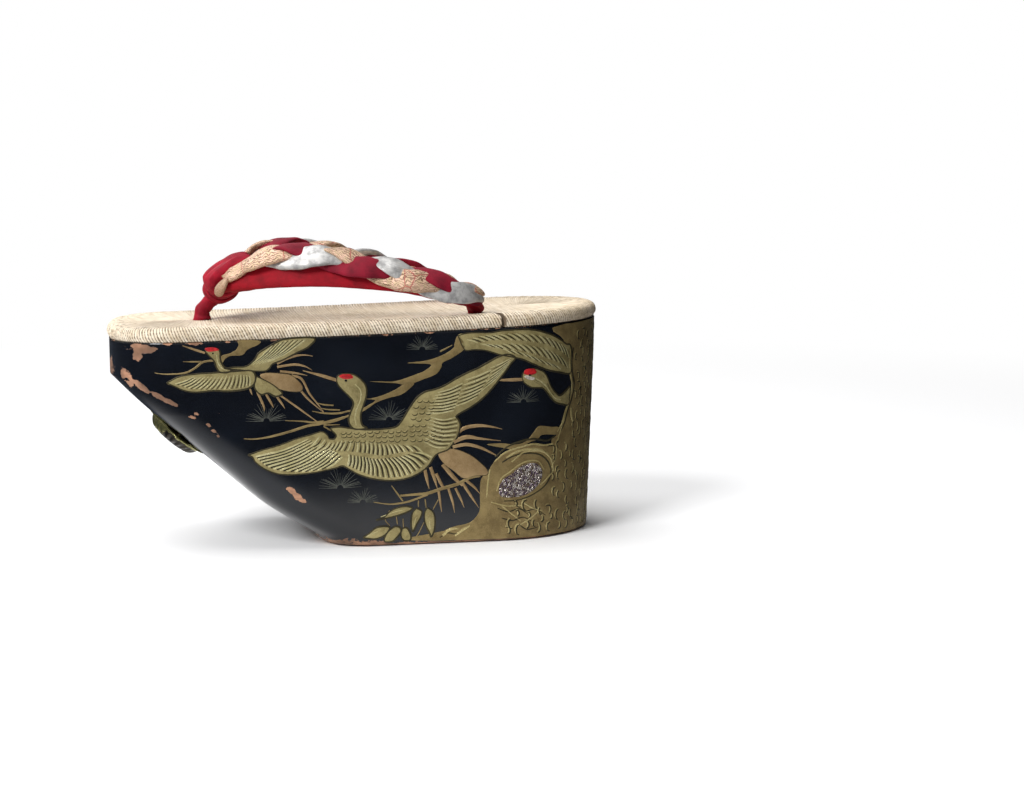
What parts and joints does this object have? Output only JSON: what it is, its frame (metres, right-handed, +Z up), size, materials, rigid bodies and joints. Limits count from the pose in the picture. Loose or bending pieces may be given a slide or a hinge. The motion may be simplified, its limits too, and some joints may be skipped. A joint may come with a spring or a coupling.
{
  "type": "platform sandal",
  "caption": "Tall lacquered wedge platform sandal with a cut-back toe, a rush mat and a braided fabric thong over the foot.",
  "frame": {"origin": "on the floor, under the middle of the mat", "axes": "+Z up, -X towards the toe, -Y towards the wearer's left"},
  "size_m": [0.225, 0.097, 0.1357],
  "materials": {
    "lacquered_wood": "gloss black lacquer with gold relief, worn to brown wood at the edges",
    "rush": "woven straw",
    "red_velvet": "velvet",
    "braided_cloth": "strands of red velvet, silver cloth and brocade",
    "brass": "tarnished pressed brass"
  },
  "bodies": {
    "root": {"wooden_block": "lacquered_wood", "rush_mat": "rush", "thong_lining": "red_velvet", "braid_left": "braided_cloth", "braid_right": "braided_cloth", "toe_tie": "red_velvet", "brass_cap": "brass", "cap_nail_left": "brass", "cap_nail_right": "brass"}
  },
  "joints": []
}
